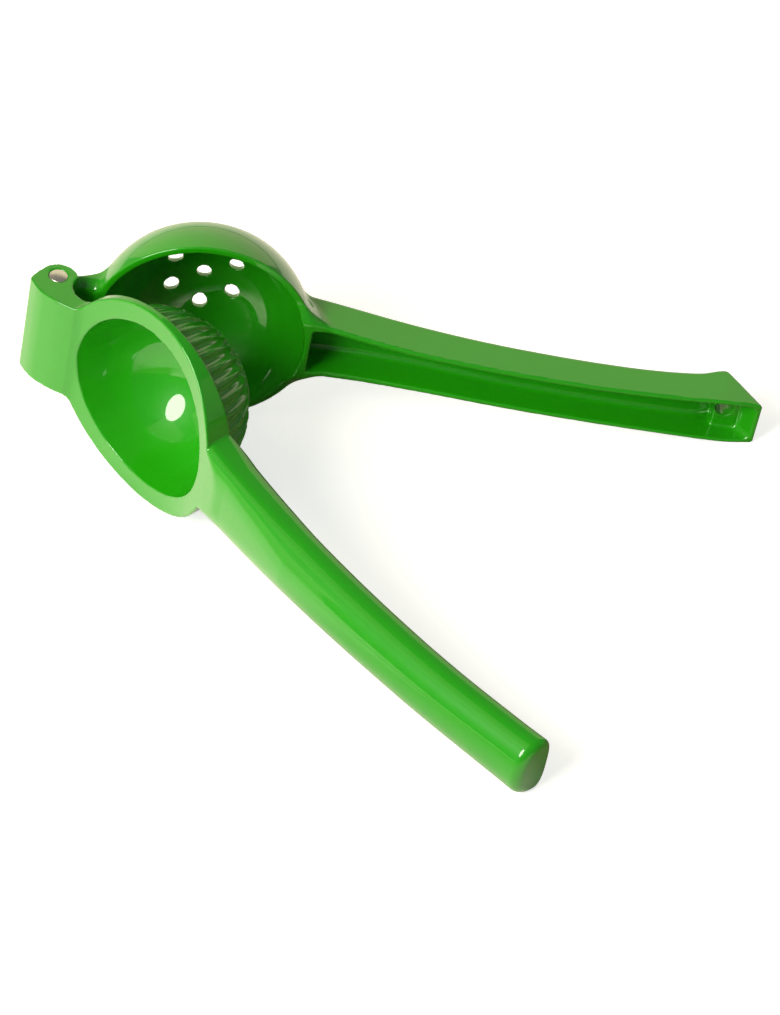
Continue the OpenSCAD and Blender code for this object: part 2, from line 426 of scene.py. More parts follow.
def new_material(name: str) -> tuple[bpy.types.Material, bpy.types.NodeTree, bpy.types.Node]:
    """Starts a material with nothing in it but its output.

    Args:
        name: the material's name.

    Returns:
        The material, its node tree and its output node.
    """
    material = bpy.data.materials.new(name)
    material.use_nodes = True
    tree = material.node_tree
    tree.nodes.clear()
    return material, tree, add_node(tree, "ShaderNodeOutputMaterial")


@dataclass(frozen=True)
class BakedEnamel:
    """Glossy enamel, sprayed and baked on a die-cast arm.

    It gives the eye a deep, even colour under a hard clear gloss, with the faint long waves of a coat
    that flowed before it set. Where it flowed thicker it looks a little darker.

    Attributes:
        colour: the colour where the coat is thin.
        deep: the colour where it is thick.
        gloss: roughness of the coloured coat under the clear gloss.
        gloss_spread: share by which that roughness varies.
        specular: strength of that coat's own shine.
        coat_gloss: roughness of the clear gloss.
        coat_ior: refraction of the clear gloss, as baked enamel has.
        wave_mm: length of the coat's waves.
        wave_height_mm: height of the waves.
        wave_strength: share of the waves that shows in the shading.
        grit_mm: size of the grain that roughens the coloured coat.
    """

    colour: str = "26B00A"
    deep: str = "22AB08"
    gloss: float = 0.4
    gloss_spread: float = 0.2
    specular: float = 0.25
    coat_gloss: float = 0.04
    coat_ior: float = 1.65
    wave_mm: float = 5.0
    wave_height_mm: float = 0.01
    wave_strength: float = 0.25
    grit_mm: float = 0.9

    def material(self) -> bpy.types.Material:
        """Builds the enamel, and returns its material."""
        material, tree, out = new_material("baked_enamel_on_cast_aluminium")
        place = add_node(tree, "ShaderNodeTexCoord").outputs["Object"]
        wave = add_node(
            tree, "ShaderNodeTexNoise", {"Scale": 1 / (self.wave_mm * MM), "Detail": 1.5}, Vector=place
        )
        grit = add_node(
            tree, "ShaderNodeTexNoise", {"Scale": 1 / (self.grit_mm * MM), "Detail": 2.0}, Vector=place
        )
        mix = add_node(
            tree,
            "ShaderNodeMix",
            {"data_type": "RGBA", 6: linear(self.colour), 7: linear(self.deep)},
            Factor=wave.outputs["Fac"],
        )
        rough = add_node(
            tree,
            "ShaderNodeMapRange",
            {"To Min": self.gloss * (1 - self.gloss_spread),
             "To Max": self.gloss * (1 + self.gloss_spread)},
            Value=grit.outputs["Fac"],
        )
        bump = add_node(
            tree,
            "ShaderNodeBump",
            {"Strength": self.wave_strength, "Distance": self.wave_height_mm * MM},
            Height=wave.outputs["Fac"],
        )
        shader = add_node(
            tree,
            "ShaderNodeBsdfPrincipled",
            {"Specular IOR Level": self.specular, "Coat Weight": 1.0,
             "Coat Roughness": self.coat_gloss, "Coat IOR": self.coat_ior},
            Base_Color=mix.outputs[2],
            Roughness=rough.outputs["Result"],
            Normal=bump.outputs["Normal"],
            Coat_Normal=bump.outputs["Normal"],
        )
        tree.links.new(shader.outputs[0], out.inputs["Surface"])
        return material


@dataclass(frozen=True)
class TurnedSteel:
    """Bare steel rod, turned and cut to length.

    Its cut face shows the fine rings that the tool left, and it is paler and duller than polished
    steel.

    Attributes:
        colour: colour of the bare metal.
        roughness: roughness of the cut face.
        roughness_range: shares of that roughness in a ring's groove and on its crest.
        ring_mm: distance between the rings.
        ring_depth_mm: their depth.
        ring_strength: share of the rings that shows in the shading.
        ring_wobble: how far the rings stray from true circles.
        rings_per_unit: rings that the wave texture draws in one unit, at a scale of 1.
    """

    colour: str = "FAF6EC"
    roughness: float = 0.32
    roughness_range: Point = (0.75, 1.3)
    ring_mm: float = 0.25
    ring_depth_mm: float = 0.02
    ring_strength: float = 0.3
    ring_wobble: float = 1.5
    rings_per_unit: float = 3.2

    def material(self, hinge: Hinge) -> bpy.types.Material:
        """Builds the steel, with its rings round the hinge's axis.

        Args:
            hinge: where the pin lies.

        Returns:
            The material.
        """
        material, tree, out = new_material("turned_steel")
        place = add_node(tree, "ShaderNodeTexCoord").outputs["Object"]
        turn = hinge.axis.to_track_quat("Z", "Y").inverted()
        at_pin = add_node(
            tree,
            "ShaderNodeMapping",
            {"Location": -(turn @ hinge.pin), "Rotation": turn.to_euler()},
            Vector=place,
        )
        ring = add_node(
            tree,
            "ShaderNodeTexWave",
            {
                "wave_type": "RINGS",
                "rings_direction": "Z",
                "Scale": 1 / (self.ring_mm * MM * self.rings_per_unit),
                "Distortion": self.ring_wobble,
                "Detail": 1.0,
            },
            Vector=at_pin.outputs["Vector"],
        )
        rough = add_node(
            tree,
            "ShaderNodeMapRange",
            {"To Min": self.roughness * self.roughness_range[0],
             "To Max": self.roughness * self.roughness_range[1]},
            Value=ring.outputs["Fac"],
        )
        bump = add_node(
            tree,
            "ShaderNodeBump",
            {"Strength": self.ring_strength, "Distance": self.ring_depth_mm * MM},
            Height=ring.outputs["Fac"],
        )
        shader = add_node(
            tree,
            "ShaderNodeBsdfPrincipled",
            {"Base Color": linear(self.colour), "Metallic": 1.0},
            Roughness=rough.outputs["Result"],
            Normal=bump.outputs["Normal"],
        )
        tree.links.new(shader.outputs[0], out.inputs["Surface"])
        return material


# ---------------------------------------------------------------- the castings


@dataclass
class PressArm:
    """The arm that presses: a forked hinge block, a ring with a fluted hollow dome, and a handle.

    Its methods take x, y and z in the arm's frame and return the distance to a form.
    """

    # Ring, dome and hollow.
    cup_x: float = 43.0
    ring_r: float = 33.3
    front_y: float = -0.2
    dome_r: float = 28.4
    dome_y: float = 0.4
    dome_fillet: float = 0.8
    hollow_r: float = 26.0
    hollow_y: float = 1.0
    hollow_draft: float = math.radians(12)
    lip_r: float = 0.3

    # Flutes: round grooves that run from the ring up the dome, and end in a round tip.
    flutes: int = 36
    flute_r: float = 1.9
    flute_depth: float = 1.15
    flute_top: float = math.radians(48)
    flute_edge: float = 0.25

    # Handle. Its section changes at these places along it, from square-shouldered to round. The reach
    # is each side's share of the thickness, and the power says how square its corners are.
    handle_x: float = 62.0
    join_r: float = 0.35
    end_x: float = 208.6
    end_round: Point = (1.2, 2.8)
    end_round_at: Point = (-4, 3)
    change: tuple[float, ...] = (74, 86, 115)
    inner_reach: tuple[float, ...] = (0.5, 0.5, 0.435)
    crown_reach: tuple[float, ...] = (0.5, 0.5, 0.7)
    inner_power: tuple[float, ...] = (5.0, 3.4, 3.0)
    crown_power: tuple[float, ...] = (3.4, 3.4, 2.15)
    least_slope: float = 0.04

    # Hinge block, its ears, its fork and its bore.
    block_h: float = 33.5
    block_fillet: float = 1.5
    block_end_x: float = -4.95
    foot_face: tuple[Point, Point] = ((-4.9, 5.0), (-3.7, 7.8))
    foot_round: float = 1.0
    brow_face: tuple[Point, Point] = ((-3.7, 7.8), (-1.6, 8.85))
    brow_round: float = 2.5
    end_edge: float = 0.6
    ear_r: float = 5.6
    ear_at: Point = (0.5, 0.2)
    slot_h: float = 25.5
    slot_r: float = 5.65
    slot_end_y: float = 4.6
    relief_at: Point = (10.1, -4.9)
    relief_r: float = 6.1
    fork_edge: float = 0.5
    bore_r: float = 2.78
    bore_edge: float = 0.4

    # Round of the outline's edges, at these places along the arm.
    edge_at: tuple[float, ...] = (8, 22, 70, 84)
    edge_r: tuple[float, ...] = (0.3, 0.5, 0.5, 0.3)

    box: tuple = ((-6, -29, -34), (210, 18, 34))

    back: Curve = field(default_factory=lambda: Curve((
        (-1.6, 8.8), (0.2, 8.9), (3.2, 8.7), (6.3, 8.2), (8.6, 7.7), (10.8, 7.0), (12.4, 6.35),
        (13.6, 5.8), (14.6, 5.1), (16, 4.4), (18.5, 3.85), (24, 3.05), (31, 2.45), (38, 2.25),
        (45, 2.5), (52, 3.1), (59, 4.2), (66, 6.0), (70, 7.45), (76, 9.8), (82.4, 12.15),
    )))
    crown: Curve = field(default_factory=lambda: Curve((
        (60, 8.6), (70, 10.3), (80, 11.8), (100, 13.8), (120, 15.4), (140, 16.4), (160, 16.75),
        (170, 16.7), (180, 16.4), (200, 15.4), (208, 15.0),
    )))
    mate: Curve = field(default_factory=lambda: Curve((
        (60, -3.2), (70, -2.4), (80, -1.4), (90, 0.0), (100, 1.3), (120, 3.4), (140, 4.8), (160, 5.6),
        (170, 5.7), (180, 5.6), (200, 4.9), (208, 4.4),
    )))
    half_width: Curve = field(default_factory=lambda: Curve((
        (60, 14.6), (70, 13.0), (76, 12.1), (82, 11.45), (90, 11.0), (100, 10.6), (120, 9.9), (140, 9.4),
        (160, 9.2), (180, 9.2), (200, 9.5), (208, 9.7),
    )))

    def handle(self, x: Array, y: Array, z: Array) -> Array:
        """Shapes the handle alone, a bar with a round crown and a flatter mating side.

        Args:
            x, y, z: places along the arm, outwards from the pin and along it, in mm.

        Returns:
            Distances to the handle.
        """
        top, bottom = self.crown.y(x), self.mate.y(x)
        across = y - (top + bottom) / 2
        inner = across < 0
        reach = np.where(inner, np.interp(x, self.change, self.inner_reach),
                         np.interp(x, self.change, self.crown_reach))
        n = np.where(inner, np.interp(x, self.change, self.inner_power),
                     np.interp(x, self.change, self.crown_power))
        w, h = self.half_width.y(x), (top - bottom) * reach
        a, b = np.abs(z) / w, np.abs(across) / h
        size = np.maximum(a**n + b**n, TINY)
        full = size ** (1 / n)
        slope = np.hypot(a ** (n - 1) / w, b ** (n - 1) / h) * size ** (1 / n - 1)
        bar = (full - 1) / np.maximum(slope, self.least_slope)
        return trim(bar, x - self.end_x, np.interp(across, self.end_round_at, self.end_round))

    def outline(self, x: Array, y: Array, z: Array) -> Array:
        """Joins the ring, the hinge block and the handle, before their backs are shaped.

        Args:
            x, y, z: places along the arm, outwards from the pin and along it, in mm.

        Returns:
            Distances to the joined outline.
        """
        ring = np.hypot(x - self.cup_x, z) - self.ring_r
        block = np.maximum(np.abs(z) - self.block_h / 2, x - self.cup_x)
        bar = np.maximum(self.handle(x, y, z), self.handle_x - x)
        return fillet(fillet(ring, block, self.block_fillet), bar, self.join_r)

    def plate(self, x: Array, y: Array, z: Array) -> Array:
        """Shapes all of the arm but its dome, still without its hollow and its fork.

        Args:
            x, y, z: places along the arm, outwards from the pin and along it, in mm.

        Returns:
            Distances to the plate.
        """
        back = self.back.above(x, y)
        end = trim(half_plane(x, y, *self.foot_face), self.block_end_x - x, self.foot_round)
        brow = half_plane(x, y, *self.brow_face)
        plate = trim(trim(back, brow, self.brow_round), end, self.end_edge)
        plate = np.maximum(plate, self.front_y - y)
        ear = np.hypot(x - self.ear_at[0], y - self.ear_at[1]) - self.ear_r
        edge = np.interp(x, self.edge_at, self.edge_r)
        return trim(self.outline(x, y, z), np.minimum(plate, ear), edge)

    def dome(self, x: Array, y: Array, z: Array) -> Array:
        """Shapes the dome with its flutes, whole down to the ring's front.

        Args:
            x, y, z: places along the arm, outwards from the pin and along it, in mm.

        Returns:
            Distances to the dome.
        """
        dx, up = x - self.cup_x, self.dome_y - y
        from_axis = np.hypot(dx, z)
        ball = np.hypot(from_axis, up) - self.dome_r
        pitch = 2 * math.pi / self.flutes
        turn = (np.arctan2(z, dx) / pitch + 0.5) % 1.0 - 0.5
        across, out = from_axis * np.sin(turn * pitch), from_axis * np.cos(turn * pitch)
        path_r = self.dome_r + self.flute_r - self.flute_depth
        high = np.clip(np.arctan2(up, out), 0.0, self.flute_top)
        along = np.hypot(out - path_r * np.cos(high), up - path_r * np.sin(high))
        flute = np.hypot(along, across) - self.flute_r
        return cut(ball, flute, self.flute_edge)

    def hollow(self, x: Array, y: Array, z: Array) -> Array:
        """Shapes the hollow in the dome's back, a half ball with a flared mouth.

        Args:
            x, y, z: places along the arm, outwards from the pin and along it, in mm.

        Returns:
            Distances to the hollow.
        """
        from_axis, up = np.hypot(x - self.cup_x, z), y - self.hollow_y
        flare = from_axis * math.cos(self.hollow_draft) - up * math.sin(self.hollow_draft)
        flares = up > -from_axis * math.tan(self.hollow_draft)
        return np.where(flares, flare, np.hypot(from_axis, up)) - self.hollow_r

    def fork(self, x: Array, y: Array, z: Array) -> Array:
        """Shapes the room between the ears, with the relief that lets the other arm's neck pass.

        Args:
            x, y, z: places along the arm, outwards from the pin and along it, in mm.

        Returns:
            Distances to that room.
        """
        behind = np.maximum(x, y - self.slot_end_y)
        below = np.maximum(x - self.relief_at[0], y - self.front_y)
        slot = np.minimum(np.hypot(x, y) - self.slot_r, np.minimum(behind, below))
        slot = np.maximum(slot, np.abs(z) - self.slot_h / 2)
        relief = np.hypot(x - self.relief_at[0], y - self.relief_at[1]) - self.relief_r
        return np.minimum(slot, relief)

    def solid(self, x: Array, y: Array, z: Array) -> Array:
        """Shapes the whole casting.

        Args:
            x, y, z: places along the arm, outwards from the pin and along it, in mm.

        Returns:
            Distances to the casting.
        """
        dome = np.maximum(self.dome(x, y, z), y - self.dome_y)
        body = fillet(self.plate(x, y, z), dome, self.dome_fillet)
        body = cut(body, self.hollow(x, y, z), self.lip_r)
        body = cut(body, self.fork(x, y, z), self.fork_edge)
        return cut(body, np.hypot(x, y) - self.bore_r, self.bore_edge)

    def build(self, hinge: Hinge, mesher: Surfacer) -> bpy.types.Object:
        """Meshes the casting and places it."""
        points, quads, normals = mesher.surface(self.solid, *self.box)
        return mesh_object("press_arm_casting", points, quads.tolist(), hinge.matrix(-1, -1), normals)


@dataclass
class BowlArm:
    """The arm that holds the fruit: a strainer bowl, a barrel on the pin, and a channel handle.

    Its methods take x, y and z in the arm's frame and return the distance to a form.
    """

    # Bowl: a ball's half outside and inside, each with a flatter dish for a bottom.
    cup_x: float = 43.0
    bowl_r: float = 32.6
    mouth_r: float = 30.4
    sink: float = 0.8
    depth: float = 27.35
    bottom_t: float = 2.25
    dish_in_r: float = 36.0
    dish_in_round: float = 1.5
    dish_out_r: float = 40.0
    dish_out_round: float = 1.2
    rim_y: float = 1.8
    rim_round: float = 0.45

    # Strainer holes: one in the middle and a ring of them round it, each wider on the outside.
    hole_r: float = 2.1
    hole_taper: float = 0.2
    hole_taper_at: Point = (-2, 6)
    hole_start: float = 10.0
    hole_edge: float = 0.3
    hole_ring_r: float = 10.6
    holes_round: int = 6

    # Barrel on the pin, and the neck that joins it to the bowl.
    barrel_r: float = 5.3
    barrel_h: float = 25.0
    barrel_edge: float = 0.5
    bore_r: float = 2.82
    bore_edge: float = 0.3
    neck_end_x: float = 20.0
    neck_dip_r: float = 23.0
    neck_edge: float = 0.6
    neck_round: float = 3.5
    neck_fillet: float = 2.0

    # Handle, with a beak and a slanted end. The fillet to the bowl shrinks from its rim outwards.
    handle_x: float = 60.0
    bowl_fillet: Point = (7.0, 2.5)
    bowl_fillet_at: Point = (2, 10)
    back_round: Point = (1.5, 1.0)
    back_round_at: Point = (180, 195)
    beak_round: float = 0.9
    rim_edge: float = 0.55
    tip: Point = (198.1, 5.9)
    heel: Point = (207.5, -6.4)

    # Channel in the handle, whose walls thin out along it, and the hanging hole in its boss.
    walls: tuple[tuple[float, ...], ...] = ((80, 110, 190), (1.9, 1.6, 1.2))
    floor_t: float = 2.4
    channel_x: float = 75.0
    channel_round: float = 2.0
    channel_start_round: float = 1.2
    channel_end_round: float = 1.0
    boss_x: float = 198.8
    boss_w: float = 7.4
    boss_y: float = -2.4
    boss_round: float = 0.8
    hang_x: float = 198.2
    hang_r: float = 2.5
    hang_edge: float = 0.3

    box: tuple = ((-6, -10, -34), (209, 35, 34))

    rim: Curve = field(default_factory=lambda: Curve((
        (55, 4.3), (70, 1.4), (80, 0.0), (90, -1.35), (100, -2.8), (110, -4.1), (120, -5.2),
        (130, -6.2), (140, -7.0), (150, -7.6), (160, -8.1), (170, -8.35), (180, -8.44), (190, -8.4),
        (200, -8.0), (206, -7.5),
    )))
    back: Curve = field(default_factory=lambda: Curve((
        (60, 14.8), (80, 12.7), (90, 11.6), (100, 10.2), (110, 8.75), (120, 7.25), (130, 5.95),
        (140, 4.95), (150, 4.15), (160, 3.6), (170, 3.25), (180, 3.3), (187, 3.6), (190.5, 4.0),
        (193, 4.8), (195, 5.5), (197.3, 5.95), (200, 6.0),
    )))
    half_width: Curve = field(default_factory=lambda: Curve((
        (60, 11.2), (70, 10.4), (80, 9.55), (90, 8.5), (100, 7.75), (110, 7.3), (125, 7.15),
        (145, 7.15), (160, 7.2), (175, 7.4), (190, 7.8), (199, 8.0), (206.5, 7.55),
    )))

    def end(self, x: Array, y: Array) -> Array:
        """Distance from the handle's slanted end, positive past it."""
        return half_plane(x, y, self.heel, self.tip) * -1

    def handle(self, x: Array, y: Array, z: Array) -> Array:
        """Shapes the handle, still solid, with its beak and slanted end.

        Args:
            x, y, z: places along the arm, outwards from the pin and along it, in mm.

        Returns:
            Distances to the handle.
        """
        side = np.abs(z) - self.half_width.y(x)
        outline = trim(self.back.above(x, y), self.end(x, y), self.beak_round)
        body = trim(side, outline, np.interp(x, self.back_round_at, self.back_round))
        return trim(body, -self.rim.above(x, y), self.rim_edge)

    def channel(self, x: Array, y: Array, z: Array) -> Array:
        """Shapes the channel in the handle, left standing at the hanging hole's boss.

        Args:
            x, y, z: places along the arm, outwards from the pin and along it, in mm.

        Returns:
            Distances to the channel's room.
        """
        wall = np.interp(x, *self.walls)
        side = np.abs(z) - self.half_width.y(x) + wall
        floor = self.back.above(x, y) + self.floor_t
        room = trim(floor, self.end(x, y) + wall, self.channel_end_round)
        room = trim(side, room, self.channel_round)
        room = trim(room, self.channel_x - x, self.channel_start_round)
        boss = trim(np.abs(x - self.boss_x) - self.boss_w / 2, self.boss_y - y, self.boss_round)
        return cut(room, boss, self.boss_round)

    def neck(self, x: Array, y: Array, z: Array) -> Array:
        """Shapes the barrel and the neck that joins it to the bowl.

        Args:
            x, y, z: places along the arm, outwards from the pin and along it, in mm.

        Returns:
            Distances to both.
        """
        barrel = np.hypot(x, y) - self.barrel_r
        dip = np.hypot(x, y - self.barrel_r - self.neck_dip_r) - self.neck_dip_r
        end = np.abs(z) - self.barrel_h / 2
        web = trim(np.maximum(np.maximum(-x, x - self.neck_end_x), -dip), end, self.neck_edge)
        web = trim(web, self.rim_y - y, self.neck_round)
        return np.minimum(trim(barrel, end, self.barrel_edge), web)

    def bowl(
        self, x: Array, y: Array, z: Array, middle_y: float, r: float, dish_r: float, bottom_y: float,
        dish_round: float,
    ) -> Array:
        """Shapes one face of the bowl, a ball with a flatter dish for a bottom.

        Args:
            x, y, z: places along the arm, outwards from the pin and along it, in mm.
            middle_y, r: the ball's middle and radius.
            dish_r, bottom_y: the dish's radius, and how far out it reaches.
            dish_round: radius of the round between the two.

        Returns:
            Distances to what is inside that face.
        """
        from_axis = np.hypot(x - self.cup_x, z)
        ball = np.hypot(from_axis, y - middle_y) - r
        return trim(ball, np.hypot(from_axis, y - bottom_y + dish_r) - dish_r, dish_round)

    def holes(self, body: Array, x: Array, y: Array, z: Array) -> Array:
        """Cuts the strainer holes.

        Args:
            body: distances to the casting so far.
            x, y, z: places along the arm, outwards from the pin and along it, in mm.

        Returns:
            Distances to the casting with its holes.
        """
        inner_y = self.rim_y + self.depth
        for i in range(self.holes_round + 1):
            turn = math.pi / 2 + i * 2 * math.pi / self.holes_round
            ring_r = self.hole_ring_r if i < self.holes_round else 0.0
            start = inner_y - self.dish_in_r + math.sqrt(self.dish_in_r**2 - ring_r**2)
            dx, dz = x - self.cup_x + ring_r * math.cos(turn), z - ring_r * math.sin(turn)
            hole = np.hypot(dx, dz) - self.hole_r
            hole -= self.hole_taper * np.clip(y - start, *self.hole_taper_at)
            body = cut(body, np.maximum(hole, self.rim_y + self.hole_start - y), self.hole_edge)
        return body

    def solid(self, x: Array, y: Array, z: Array) -> Array:
        """Shapes the whole casting.

        Args:
            x, y, z: places along the arm, outwards from the pin and along it, in mm.

        Returns:
            Distances to the casting.
        """
        inner_y = self.rim_y + self.depth
        outside = self.bowl(x, y, z, self.rim_y, self.bowl_r, self.dish_out_r,
                            inner_y + self.bottom_t, self.dish_out_round)
        body = trim(outside, self.rim_y - y, self.rim_round)
        body = fillet(body, self.neck(x, y, z), self.neck_fillet)
        bar = np.maximum(self.handle(x, y, z), self.handle_x - x)
        body = fillet(body, bar, np.interp(y, self.bowl_fillet_at, self.bowl_fillet))
        inside = self.bowl(x, y, z, self.rim_y - self.sink, math.hypot(self.mouth_r, self.sink),
                           self.dish_in_r, inner_y, self.dish_in_round)
        body = cut(body, inside, self.rim_round)
        body = cut(body, self.channel(x, y, z), self.rim_edge)
        body = self.holes(body, x, y, z)
        body = cut(body, np.hypot(x - self.hang_x, z) - self.hang_r, self.hang_edge)
        pin = np.maximum(np.hypot(x, y) - self.bore_r, np.abs(z) - self.barrel_h)
        return cut(body, pin, self.bore_edge)

    def build(self, hinge: Hinge, mesher: Surfacer) -> bpy.types.Object:
        """Meshes the casting and places it."""
        points, quads, normals = mesher.surface(self.solid, *self.box)
        return mesh_object("bowl_arm_casting", points, quads.tolist(), hinge.matrix(1), normals)


@dataclass
class HingePin:
    """The steel dowel that both arms turn on.

    Attributes:
        radius: radius of the dowel, in mm.
        half: half of its length.
        round_r: radius of the round at the edge of each end.
        swell: how far each end stands out in its middle.
        around: number of points round it.
        arc_step: angle between the points of that round, in degrees.
        face_rings: radii of the rings of points on an end, as shares of the flat's radius.
        side_rings: number of rings of points along its side, with both ends.
    """

    radius: float = 2.75
    half: float = 17.05
    round_r: float = 0.4
    swell: float = 0.3
    around: int = 96
    arc_step: int = 15
    face_rings: tuple[float, ...] = (0.25, 0.5, 0.75, 0.97)
    side_rings: int = 9

    def profile(self) -> list[Point]:
        """Draws the dowel's profile.

        Returns:
            Radius and height of each ring of points, from one end to the other.
        """
        turns = [math.radians(a) for a in range(0, 91, self.arc_step)]
        core, end = self.radius - self.round_r, self.half - self.swell - self.round_r
        half = [(core * s, self.swell * s * s - self.half) for s in self.face_rings]
        half += [(core + self.round_r * math.sin(t), -end - self.round_r * math.cos(t)) for t in turns]
        side = [(self.radius, z) for z in np.linspace(-end, end, self.side_rings)[1:-1]]
        return half + side + [(r, -z) for r, z in reversed(half)]

    def build(self, hinge: Hinge) -> bpy.types.Object:
        """Turns the dowel from its profile.

        Args:
            hinge: where the pin lies.

        Returns:
            The dowel.
        """
        rings, n = self.profile(), self.around
        angle = np.arange(n) * 2 * math.pi / n
        points = [(r * math.cos(a), r * math.sin(a), z) for r, z in rings for a in angle]
        faces = [
            (i * n + j, i * n + (j + 1) % n, (i + 1) * n + (j + 1) % n, (i + 1) * n + j)
            for i in range(len(rings) - 1)
            for j in range(n)
        ]
        points += [(0.0, 0.0, -self.half), (0.0, 0.0, self.half)]
        low, high = len(points) - 2, len(points) - 1
        last = (len(rings) - 1) * n
        faces += [(low, (j + 1) % n, j) for j in range(n)]
        faces += [(high, last + j, last + (j + 1) % n) for j in range(n)]
        return mesh_object("hinge_pin_dowel", np.array(points), faces, hinge.matrix())


# ---------------------------------------------------------------- studio


class LampShape(Enum):
    """Outline of a lamp's face, and how much of its bounding rectangle it fills."""

    RECTANGLE = 1.0
    ELLIPSE = math.pi / 4


@dataclass(frozen=True)
class Lamp:
    """A soft box or a white card that faces the object.

    Attributes:
        name: the lamp's name.
        heading: its direction from the object, in degrees from the x axis.
        height: its elevation above the table, in degrees.
        far: its distance, in metres.
        size: width and height of its face, in metres.
        glow: how bright its face looks, where 1 is white.
        hue: colour of its light.
        shape: outline of its face.
        mirrored: whether it shows in the gloss.
    """

    name: str
    heading: float
    height: float
    far: float
    size: Point
    glow: float
    hue: str = "FFF2C4"
    shape: LampShape = LampShape.RECTANGLE
    mirrored: bool = True

    def hang(self) -> bpy.types.Object:
        """Hangs the lamp.

        Returns:
            The lamp's object.
        """
        turn, rise = math.radians(self.heading), math.radians(self.height)
        way = Vector((math.cos(rise) * math.cos(turn), math.cos(rise) * math.sin(turn), math.sin(rise)))
        data = bpy.data.lights.new(self.name, "AREA")
        data.shape = self.shape.name
        data.size, data.size_y = self.size
        data.energy = self.glow * math.pi * self.size[0] * self.size[1] * self.shape.value
        data.color = linear(self.hue)[:3]
        obj = bpy.data.objects.new(self.name, data)
        obj.location = way * self.far
        obj.rotation_euler = (-way).to_track_quat("-Z", "Y").to_euler()
        obj.visible_glossy = self.mirrored
        bpy.context.scene.collection.objects.link(obj)
        return obj


@dataclass(frozen=True)
class Ramp:
    """A rise from 0 to a top value over the floor.

    Attributes:
        way: the direction across the floor along which it is measured.
        start: the distance along it, in metres, where it is 0.
        end: the distance where it is at its top.
        top: the value that it reaches.
    """

    way: Point
    start: float
    end: float
    top: float = 1.0

    def socket(self, tree: bpy.types.NodeTree) -> bpy.types.NodeSocket:
        """Builds the rise.

        Args:
            tree: the node tree.

        Returns:
            The socket that carries it.
        """
        place = add_node(tree, "ShaderNodeNewGeometry").outputs["Position"]
        along = add_node(
            tree, "ShaderNodeVectorMath", {"operation": "DOT_PRODUCT", 1: (*self.way, 0.0)}, at0=place
        )
        rise = add_node(
            tree, "ShaderNodeMapRange",
            {"From Min": self.start, "From Max": self.end, "To Max": self.top},
            Value=along.outputs["Value"],
        )
        return rise.outputs["Result"]


OUTWARD, ACROSS, BACKWARD = (-0.38, -0.92), (1.0, 0.0), (-1.5, 1.0)


